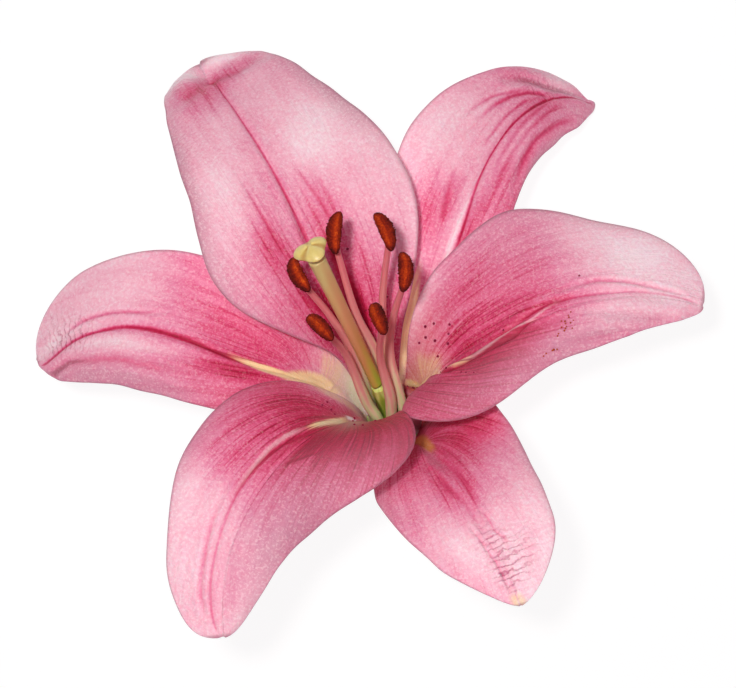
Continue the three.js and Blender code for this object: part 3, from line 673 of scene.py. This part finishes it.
# Where each wash lies on a blade, from 0 to 1, by place on it: the pigments, the painted shade and the
# painted sparkle highlights. vein, reach and run are millimetres for the shader's streaks: across with
# the veins' spread, across and along.
def bladeWashes(tepal, a, s, widths, midribTintAndPaintedShade):
    x, y = a * widths, s * tepal["length"]
    centre = along(tepal["blushCentre"], s)
    side = np.where(a < 0, along(tepal["blushRight"], s), along(tepal["blushLeft"], s))
    blush = centre + (side - centre) * np.abs(a) ** 1.2 + spread(tepal["patches"], a, s)
    washes = {key: spread(tepal.get(key, ()), a, s) for key in pigmentsAndPaintedLight}
    for key, first, last, strength, *places in tepal["channels"]:
        distance, share = fromLine(places, x, y, widths, tepal["length"])
        width = first + (last - first) * share
        ends = smoothStep(np.minimum(share, 1 - share), -0.05, 0.25)
        inside = 1 - smoothStep(distance, 0.4 * width, 1.3 * width)
        washes[key] = np.maximum(washes[key], strength * ends * inside)
    fanFrom, fanAmount = tepal["fan"]
    return {
        "blush": np.clip(blush, 0, 1.2), "shadeAndMidribTint": midribTintAndPaintedShade,
        **{key: np.clip(wash, 0, 1) for key, wash in washes.items()},
        "wrinkle": np.clip(spread(tepal["wrinkles"], a, s), 0, 1),
        "rim": 0.6 * np.maximum(smoothStep(np.abs(a), 0.96, 1), smoothStep(s, 0.99, 1)),
        "vein": x + fanAmount * np.arctan2(x, y - fanFrom * tepal["length"]),
        "reach": x, "run": y + 150 * tepal["phase"],
    }


# How large papillae and pollen grains are made for the size they are given
freckleScale = {"papilla": 1, "pollen": 1.35}


def buildTepal(name, tepal, material):
    points, a, s, widths = bladeSurface(tepal)
    normals = surfaceNormals(points)
    front, back, midribTintAndPaintedShade = bladeRelief(name, tepal, a, s, widths)
    frontPoints = points + normals * front[..., None]
    backPoints = points + normals * back[..., None]
    washes = bladeWashes(tepal, a, s, widths, midribTintAndPaintedShade)
    rows, columns = a.shape
    bm = bmesh.new()
    bmesh.ops.create_grid(bm, x_segments=columns - 1, y_segments=rows - 1, size=0.5)
    made = bmesh.ops.extrude_face_region(bm, geom=bm.faces[:])
    raised = [g for g in made["geom"] if isinstance(g, bmesh.types.BMVert)]
    bmesh.ops.translate(bm, vec=(0, 0, 1), verts=raised)
    grid = np.array([v.co for v in bm.verts])
    i = np.rint((grid[:, 1] + 0.5) * (rows - 1)).astype(int)
    j = np.rint((grid[:, 0] + 0.5) * (columns - 1)).astype(int)
    isFront = grid[:, 2] > 0.5
    places = np.where(isFront[:, None], frontPoints[i, j], backPoints[i, j])
    places[:, 2] = np.maximum(places[:, 2], 0)
    for vert, place in zip(bm.verts, toMetres(places)):
        vert.co = place
    values = {key: wash[i, j] for key, wash in washes.items()}
    values.update(outside=(~isFront).astype(float), papilla=np.zeros(len(i)), pollen=np.zeros(len(i)))
    for kind, scale in freckleScale.items():
        for a0, s0, size in tepal.get(kind, ()):
            row = int(np.argmin(np.abs(s[:, 0] - s0)))
            column = int(np.argmin(np.abs(a[0] - a0)))
            grain = bmesh.ops.create_icosphere(bm, subdivisions=1, radius=size * scale * mm)
            centre = toMetres(frontPoints[row, column] + normals[row, column] * 0.1 * size)
            bmesh.ops.translate(bm, vec=centre, verts=grain["verts"])
            for key in values:
                values[key] = np.append(values[key], [float(key == kind)] * len(grain["verts"]))
    mesh = finishPiece(name + "_blade", bm, material, name)
    for key, value in values.items():
        attribute = mesh.attributes.new(key, "FLOAT", "POINT")
        attribute.data.foreach_set("value", value.astype(np.float32))


# Fresh petal skin: satin, lit through, with fine sparkle from its small raised cells. The cells are
# a tenth of a millimetre, too fine to show, so the sparkle is painted into the colour as pale highlight
# flecks of about one millimetre.
def makeTepalMaterial(name, look):
    material, tree, shader = newMaterial(name, {
        "Roughness": 0.42, "IOR": 1.4, "Specular IOR Level": 0.27, "Subsurface Weight": 0.3,
        "Subsurface Scale": 1.2 * mm, "Subsurface Radius": (1, 0.4, 0.5), "Sheen Weight": 0.02,
    })
    add = partial(addNode, tree)
    wash = {key: (add("Attribute", attribute_name=key), "Fac") for key in washNames}
    place = (add("TexCoord"), 3)
    ways = add("CombineXYZ", [wash["vein"], wash["run"], wash["reach"]])
    scales = {"streak": (0.3, 0.035, 0), "thread": (1, 0.045, 0), "fold": (0, 0.2, 0.13)}
    stretched = {key: add("Mapping", {"Vector": ways, "Scale": scale}) for key, scale in scales.items()}
    # What each noise follows, its pace, detail and distortion
    noises = {
        "streak": (stretched["streak"], 1, 3, 0),
        "thread": (stretched["thread"], 1, 2, 0.3),
        "mottle": (place, 1 / (0.9 * mm), 3, 0),
        "paintedSparkle": (place, 1 / (0.55 * mm), 2, 0.5),
        "drift": (place, 1 / (12 * mm), 2, 0),
    }
    noise = {
        key: add("TexNoise", {"Vector": vector, "Scale": pace, "Detail": detail, "Distortion": distortion})
        for key, (vector, pace, detail, distortion) in noises.items()
    }
    shift = {key: add("Math", [noise[key], 0.5], **minus) for key in ("streak", "mottle", "drift")}
    thread = setRamp(add("ValToRGB", {"Fac": noise["thread"]}), look["threads"])
    # Wave lines for the wrinkles: sunk in the relief, and darkened as painted shade in their folds
    folds = add("TexWave", {
        "Vector": stretched["fold"], "Scale": 1, "Distortion": 6.5, "Detail": 2, "Detail Scale": 2.6,
    }, bands_direction="Y")
    foldLine = setRamp(add("ValToRGB", {"Fac": (folds, 1)}), ((0, 1), (0.3, 0)))
    fold = add("Math", [foldLine, wash["wrinkle"]], **times)

    # How deep the pink is: the blush, with each pattern laid on it by its amount. The folds and the
    # crease wash darken it as painted shade, and that wash carries the midrib's tint too.
    blushSquared = add("Math", [wash["blush"], wash["blush"]], **times)
    threadAmount = add("Math", [blushSquared, look["thread"]], **times)
    streakAmount = add("Math", [wash["blush"], look["streak"], 0.05], **timesPlus)
    depth = wash["blush"]
    for pattern, amount in (
        (shift["streak"], streakAmount), (thread, threadAmount), (shift["mottle"], look["mottle"]),
        (shift["drift"], look["drift"]), (fold, look["fold"]), (wash["shadeAndMidribTint"], look["shadeAndMidribTint"]),
    ):
        depth = add("Math", [pattern, amount, depth], **timesPlus)
    scaled = add("Math", [depth, 0.8], **times)
    pink = setRamp(add("ValToRGB", {"Fac": scaled}), look["ramp"])

    # The cream runs out in rays between the threads
    less = add("Math", [1, wash["cream"]], **minus)
    edge = add("Math", [wash["cream"], less], **times)
    ray = add("Math", [thread, -2, 1], **timesPlus)
    swing = add("Math", [edge, ray], **times)
    cream = add("Math", [swing, 1.2, wash["cream"]], **timesPlus)
    # The folds also take the shade colour, as painted shade
    foldShade = add("Math", [fold, 0.3], **times)

    # Painted sparkle highlights fade out where the skin is deep
    deep = add("Math", [wash["shadeAndMidribTint"], 1.5, wash["blush"]], **timesPlus)
    fade = add("Math", [deep, -1, 1.08], **timesPlus, use_clamp=True)
    speck = setRamp(add("ValToRGB", {"Fac": noise["paintedSparkle"]}), look["paintedSparkleStops"])
    paintedSparkle = add("Math", [speck, fade, wash["paintedSparkle"]], **timesPlus)

    def laidOn(colour, coats):
        for share, key in coats:
            colour = (add("Mix", {0: share, 6: colour, 7: linear(look[key])}, data_type="RGBA"), 2)
        return colour

    # Over the pink go the pigments, then painted shade from the shade wash and the folds, then the painted
    # sparkle highlights and the rim
    inside = laidOn(pink, (
        (cream, "cream"), *((wash[key], key) for key in ("green", "mauve", "amber", "shade")),
        (foldShade, "shade"), (paintedSparkle, "paintedSparkle"), (wash["rim"], "rim"),
    ))
    outside = laidOn(inside, ((0.5, "outside"),))
    skin = (add("Mix", {0: wash["outside"], 6: inside, 7: outside}, data_type="RGBA"), 2)
    skin, output = laidOn(skin, ((wash["papilla"], "papilla"), (wash["pollen"], "pollen")))
    grain = add("Math", [thread, -0.25, noise["mottle"]], **timesPlus)
    fine = add("Math", [noise["paintedSparkle"], 0.5, grain], **timesPlus)
    height = add("Math", [fold, -1.2, fine], **timesPlus)
    dressShader(tree, shader, skin.outputs[output], height, 0.7, 0.35)
    return material


# shade is the colour of painted shade in folds and gaps, and the near-white sparkle colour is that of the
# painted highlights
petalLook = dict(
    ramp=(
        (0, "#fce5ed"), (0.2, "#f5bed1"), (0.4, "#e98eb0"), (0.6, "#dc5381"), (0.8, "#c21c4c"),
        (1, "#a01238"),
    ),
    streak=0.7, thread=0.35, mottle=0.4, drift=0.25, fold=0.25, shadeAndMidribTint=0.7,
    threads=((0.52, 0), (0.64, 1)), paintedSparkleStops=((0.52, 0), (0.64, 0.4)),
    cream="#f5dfaa", green="#e3ebc8", mauve="#c08a9f", amber="#de9850", shade="#8a5058",
    paintedSparkle="#fff4f6", rim="#a4657a", outside="#f2c9d6", papilla="#8e1c42", pollen="#b5451c",
)
petalSkins = {
    "inner": makeTepalMaterial("innerPetalSkin", {**petalLook, "thread": 0.45}),
    "outer": makeTepalMaterial("outerPetalSkin", petalLook),
}
for name, tepal in tepals.items():
    whorl = name[:5]
    buildTepal(name, {**plainTepal, **whorls[whorl], **tepal}, petalSkins[whorl])
print("tepals made")


# Round pieces: a smooth way through places, and a path along it with even steps and two cross directions
def throughPoints(places, t):
    p = np.array(places, float)
    p = np.concatenate([[2 * p[0] - p[1]], p, [2 * p[-1] - p[-2]]])
    gaps = np.linalg.norm(np.diff(p, axis=0), axis=1) ** 0.5
    last = len(places) - 1
    x = np.clip(t, 0, 1) * last
    i = np.minimum(np.floor(x).astype(int), last - 1)
    f = (x - i)[:, None]
    a, b, c, d = (p[i + k] for k in range(4))
    g0, g1, g2 = (gaps[i + k][:, None] for k in range(3))
    m1 = ((b - a) / g0 - (c - a) / (g0 + g1) + (c - b) / g1) * g1
    m2 = ((c - b) / g1 - (d - b) / (g1 + g2) + (d - c) / g2) * g1
    return (b * (2 * f ** 3 - 3 * f ** 2 + 1) + c * (3 * f ** 2 - 2 * f ** 3)
            + m1 * (f ** 3 - 2 * f ** 2 + f) + m2 * (f ** 3 - f ** 2))


def evenPath(places, count):
    fine = throughPoints(places, np.linspace(0, 1, 400))
    travelled = np.concatenate([[0], np.cumsum(np.linalg.norm(np.diff(fine, axis=0), axis=1))])
    wanted = np.linspace(0, travelled[-1], count)
    middle = np.stack([np.interp(wanted, travelled, fine[:, k]) for k in range(3)], axis=1)
    tangent = unit(np.gradient(middle, axis=0))
    side = np.zeros_like(middle)
    side[0] = unit(np.cross(tangent[0], vec(0, 0, 1)))
    for k in range(1, count):
        side[k] = unit(side[k - 1] - tangent[k] * np.dot(side[k - 1], tangent[k]))
    return middle, tangent, side, np.cross(side, tangent)


def ringPoints(path, i, turn, radius):
    middle, tangent, side, up = path
    return middle[i] + side[i] * (np.cos(turn) * radius)[:, None] + up[i] * (np.sin(turn) * radius)[:, None]


# Rings of their own radii along a path, with low ribs
def ribbed(path, radius, ribs, height):
    return lambda i, turn: ringPoints(path, i, turn, radius[i] * (1 + height * np.cos(ribs * turn)))


# Radii that close at both ends, over a shorter way the higher blunt is
def closedEnds(radius, t, length, blunt):
    ends = np.minimum(t, 1 - t) * length / np.maximum(radius, 0.3)
    return radius * np.sqrt(np.clip(1 - (1 - np.clip(blunt * ends, 0, 1)) ** 2, 0.02, 1))


# How far along a stem each ring is, and streaks that run down it
def stemFields(t, streaks, start=0):
    return {"along": lambda i, turn: t[i], "streak": lambda i, turn: np.cos(streaks * turn + start)}


# A grid rolled up and closed at its seam and ends. shape(i, turn) places the points of ring i at their
# turns, and each field is such a rule for a value at each point.
def rolled(name, node, material, make, shape, fields):
    rows = make["rows"]
    bm = bmesh.new()
    bmesh.ops.create_grid(bm, x_segments=make["around"], y_segments=rows - 1, size=0.5)
    grid = np.array([v.co for v in bm.verts])
    i = np.rint((grid[:, 1] + 0.5) * (rows - 1)).astype(int)
    turn = 2 * np.pi * (grid[:, 0] + 0.5)
    for vert, place in zip(bm.verts, toMetres(shape(i, turn))):
        vert.co = place
    for key, rule in fields.items():
        layer = bm.verts.layers.float.new(key)
        for vert, value in zip(bm.verts, rule(i, turn)):
            vert[layer] = value
    bmesh.ops.remove_doubles(bm, verts=bm.verts[:], dist=1e-7)
    bmesh.ops.holes_fill(bm, edges=[e for e in bm.edges if e.is_boundary], sides=0)
    finishPiece(name, bm, material, node)


# Moist stem flesh, lit a little way in, with a soft shine. Each has its roughness and its colours from
# end to end: a filament is pink above and pale green at the foot.
stemFlesh = {
    "IOR": 1.4, "Specular IOR Level": 0.4, "Subsurface Weight": 0.3, "Subsurface Scale": 1.2 * mm,
    "Subsurface Radius": (1, 0.5, 0.4),
}
stemColours = {
    "filamentFlesh": (0.4, (
        (0, "#b9c67e"), (0.3, "#cfd49e"), (0.42, "#e4c8a9"), (0.55, "#e6a19b"), (1, "#dc7a82"),
    )),
    "ovarySkin": (0.3, ((0, "#a9b45c"), (0.5, "#8fae3c"), (0.85, "#a5c046"), (1, "#cfdc7c"))),
    "styleFlesh": (0.4, (
        (0, "#9cb03c"), (0.15, "#b3a045"), (0.35, "#bf8a55"), (0.6, "#cb9068"), (0.85, "#cba670"),
        (1, "#cdb97c"),
    )),
    "stalkSkin": (0.45, ((0, "#d7dcb2"), (0.03, "#8ba058"), (0.6, "#7f9a4c"), (1, "#a8b56c"))),
}
stemSkins = {}
for name, (roughness, stops) in stemColours.items():
    constants = {**stemFlesh, "Roughness": roughness}
    stemSkins[name] = makeFlesh(name, constants, "along", ((3, 2, 0.12),), stops, (0.2, 0.1), streak=0.1)

# Burst anther: dull, dark maroon walls with orange pollen crowded on the open face
antherPollen = makeFlesh(
    "antherPollen", {"Roughness": 0.85, "Specular IOR Level": 0.15}, "face", ((0.45, 3, 0.9), (2, 2, 0.6)),
    ((0, "#420b0f"), (0.3, "#74190d"), (0.6, "#982a0c"), (0.85, "#b83c0e"), (1, "#ce5817")), (0.8, 0.25),
    start=-0.75,
)
# Sticky stigma: waxy, lit deeply, darker brown in its clefts as painted shade
stigmaPulp = makeFlesh("stigmaPulp", {
    "Roughness": 0.35, "Specular IOR Level": 0.5, "Subsurface Weight": 0.4,
    "Subsurface Scale": 1.5 * mm, "Subsurface Radius": (1, 0.8, 0.4),
}, "cleft", ((1.2, 3, 0.35),), (
    (0.1, "#e2d488"), (0.35, "#d6c272"), (0.7, "#c0974c"), (1, "#a5682e"),
), (0.4, 0.2))

# Stamens: turn round the axis, how far the filament swings from it beside the ovary, two places on its
# way, then the anther's middle, its heading and pitch, and how far its ends curve aside
stamens = (
    (120, 0, (1.9, -2.8, 36), (-3.1, 7.8, 48), (-7.9, 27.1, 65), 85, -22, 0.9),
    (60, 0, (4.3, -3.6, 35), (3.6, 11.6, 49), (4.1, 27.6, 63), 113, -26, -0.8),
    (0, -30, (5.5, -3.6, 40), (6.1, 6, 53), (8.8, 17.7, 67), 91, -31, -0.8),
    (180, 0, (-3.1, -3.6, 41), (-9.2, 6.7, 53), (-16.9, 16.9, 65), 117, -35, 0.8),
    (-65, -15, (5.6, -13.5, 38), (3, -3.5, 52), (2.4, 6.6, 70), 110, -46, 0),
    (-120, -10, (0, -15.4, 33), (-5.4, -2.7, 52), (-11.7, 4.4, 69), 137, -43, -0.3),
)
# foot is its way from the axis and besideOvary from the axis and above the crown. behind is the room left
# at the anther's back, and joins how far back along the anther the filament ends, as a share.
filamentMake = dict(
    foot=3.5, besideOvary=(4.5, 13), radius=1.15, tipRadius=0.75,
    swell=0.4, swellPlace=0.35, swellReach=0.22, behind=0.5, joins=0.15,
    rows=70, around=20,
)
# arch bends the ends away from the open face, where a furrow is sunk between lips
antherMake = dict(
    length=11.2, width=3.5, depth=2.6, arch=0.9, furrow=0.38, lip=0.1,
    grain=0.09, blunt=0.42, rows=90, around=64,
)


def buildStamen(number, turn, swing, lower, upper, middle, heading, pitch, curve):
    heading, pitch = math.radians(heading), math.radians(pitch)
    forward = vec(math.cos(heading) * math.cos(pitch), math.sin(heading) * math.cos(pitch), math.sin(pitch))
    side = unit(np.cross(forward, vec(0, 0, 1)))
    up = np.cross(side, forward)
    make, pod = filamentMake, antherMake
    foot = onAxis(turn, make["foot"], bloom["gap"] + make["radius"] * 0.3)
    past = onAxis(turn + swing, *make["besideOvary"])
    end = vec(*middle) - up * (pod["depth"] / 2 + make["behind"] + bloom["gap"])
    end = end - forward * pod["length"] * make["joins"]
    path = evenPath([foot, past, lower, upper, end], make["rows"])
    t = np.linspace(0, 1, make["rows"])
    radius = make["radius"] + (make["tipRadius"] - make["radius"]) * t ** 1.5
    radius = radius + make["swell"] * bump(t, make["swellPlace"], make["swellReach"])
    length = np.linalg.norm(np.diff(path[0], axis=0), axis=1).sum()
    rolled(f"filament_{number}_stem", f"filament_{number}", stemSkins["filamentFlesh"], make,
           ribbed(path, closedEnds(radius, t, length, 1), 3, 0.04), stemFields(t, 5, number))

    rows, around = pod["rows"], pod["around"]
    u = -np.cos(np.pi * (np.arange(rows) + 0.25) / (rows - 0.5))
    rough = np.random.default_rng(40 + number).normal(0, pod["grain"], (rows, around))
    rough = (rough + np.roll(rough, 1, 0) + np.roll(rough, 1, 1)) / 1.8
    rough = np.concatenate([rough, rough[:, :1]], axis=1)

    def podShape(i, turn):
        column = np.rint(turn / (2 * np.pi) * around).astype(int)
        swell = np.maximum(0.03, (1 - u[i] ** 2)) ** pod["blunt"] * (1 + rough[i, column])
        lips = bump(np.abs(np.cos(turn)), 0.55, 0.18) * (np.sin(turn) > 0)
        furrow = 1 - pod["furrow"] * np.maximum(0, np.sin(turn)) ** 6 + pod["lip"] * lips
        place = vec(*middle) + forward * (u[i] * pod["length"] / 2)[:, None]
        place = place - up * (pod["arch"] * u[i] ** 2)[:, None]
        place = place + side * (curve * (u[i] ** 2 - 0.35))[:, None]
        return (place + side * (np.cos(turn) * swell * pod["width"] / 2)[:, None]
                + up * (np.sin(turn) * furrow * swell * pod["depth"] / 2)[:, None])

    # Pollen in a stripe to one side of the open face, with a dark line in it
    def face(i, turn):
        lean, x = 0.35 * math.sin(2.1 * number), np.cos(turn)
        stripe = bump(x, lean, 0.6) * (np.sin(turn) > 0) - 0.35 * bump(x, lean + 0.3, 0.09)
        return np.clip(0.18 + 0.62 * stripe, 0, 1) * (1 - 0.7 * smoothStep(np.abs(u[i]), 0.7, 1))

    rolled(f"anther_{number}_pod", f"anther_{number}", antherPollen, pod, podShape,
           {"face": face})


for number, stamen in enumerate(stamens, 1):
    buildStamen(number, *stamen)
print("stamens made")


# Pistil: ovary on the receptacle, then the style, both with blunt ends, then the three-lobed stigma.
# lobe is how far its lobes stand out, one at a heading round from +X, and cleft the depth between them.
pistil = dict(
    ovaryLength=25, ovaryRadius=2.1, styleLength=43, styleRadius=1.6,
    styleWay=((2.4, -10.5, 39.2), (-3, 1, 49.5), (-8.6, 12.5, 58.8), (-12.6, 20.6, 66)),
    blunt=5, stigmaRadius=4.1, stigmaHeight=4, lobe=0.17, cleft=0.3, lobeHeading=77,
    rows=90, around=48,
)
t = np.linspace(0, 1, pistil["rows"])
styleFoot = vec(*pistil["styleWay"][0])
ovaryPath = evenPath([
    onAxis(0, 0, bloom["gap"]), onAxis(0, 0, pistil["ovaryLength"] * 0.5), styleFoot,
], pistil["rows"])
radius = pistil["ovaryRadius"] * (1 + 0.12 * np.sin(np.pi * t) - 0.2 * smoothStep(t, 0.8, 1))
radius = closedEnds(radius, t, pistil["ovaryLength"], pistil["blunt"])
rolled("ovary_body", "ovary", stemSkins["ovarySkin"], pistil, ribbed(ovaryPath, radius, 6, 0.07),
       stemFields(t, 6))

start = styleFoot + ovaryPath[1][-1] * bloom["gap"]
stylePath = evenPath([start, *pistil["styleWay"][1:]], pistil["rows"])
radius = closedEnds(pistil["styleRadius"] * (1 + 0.38 * t ** 2), t, pistil["styleLength"], pistil["blunt"])
rolled("style_stem", "style", stemSkins["styleFlesh"], pistil, ribbed(stylePath, radius, 3, 0.05),
       stemFields(t, 3))

top, topUp = stylePath[0][-1], stylePath[1][-1]
stigmaPath = evenPath([
    top + topUp * (bloom["gap"] + pistil["stigmaHeight"] * share) for share in (0, 0.5, 1)
], pistil["rows"])
lobeHeading = math.radians(pistil["lobeHeading"])
lobeWay = vec(math.cos(lobeHeading), math.sin(lobeHeading), 0)
lobeTurn = math.atan2(np.dot(lobeWay, stigmaPath[3][0]), np.dot(lobeWay, stigmaPath[2][0]))


# From 1 on a lobe to -1 in a cleft
def lobeAt(turn):
    return np.cos(3 * (turn - lobeTurn))


def stigmaShape(i, turn):
    s, lobe = t[i], lobeAt(turn)
    dome = np.sqrt(np.maximum(0, 1 - (1.7 * (s - 0.42)) ** 2)) * np.where(s < 0.5, 0.65 + 0.7 * s, 1)
    radius = np.maximum(0.08, pistil["stigmaRadius"] * dome * (1 + pistil["lobe"] * lobe))
    sunk = -pistil["cleft"] * smoothStep(-lobe, -0.3, 1) * smoothStep(s, 0.6, 0.9)
    return ringPoints(stigmaPath, i, turn, radius) + topUp * sunk[:, None]


rolled("stigma_head", "stigma", stigmaPulp, pistil, stigmaShape,
       {"cleft": lambda i, turn: 0.45 * smoothStep(-lobeAt(turn), 0.4, 1)})
print("pistil made")


# Stalk: from its cut end on the table up into the receptacle, which widens to the crown
stalk = dict(radius=2.9, receptacle=10, sag=1.2, rows=90, around=48)
stalkLength = bloom["crown"][2] / bloomAxis[2]
stalkPath = evenPath([
    onAxis(0, 0, -stalkLength), onAxis(-90, stalk["sag"], -stalkLength * 0.6),
    onAxis(0, 0, -stalkLength * 0.25), onAxis(0, 0, 0),
], stalk["rows"])
t = np.linspace(0, 1, stalk["rows"])
widening = smoothStep(stalk["receptacle"] - (1 - t) * stalkLength, 0, stalk["receptacle"]) ** 1.2
radius = stalk["radius"] + (bloom["crownRadius"] - stalk["radius"]) * widening
stalkRings = ribbed(stalkPath, radius, 5, 0.02)


# The first ring slides down the stalk's own way to lie flat on the table
def stalkShape(i, turn):
    places = stalkRings(i, turn)
    direction = stalkPath[1][i]
    onTable = places - direction * (places[:, 2:] / direction[:, 2:])
    places[:, 2] = np.maximum(places[:, 2], 0)
    return np.where((i == 0)[:, None], onTable, places)


rolled("flower_stalk_stem", "flower_stalk", stemSkins["stalkSkin"], stalk, stalkShape,
       stemFields(t, 5))
print("stalk made")
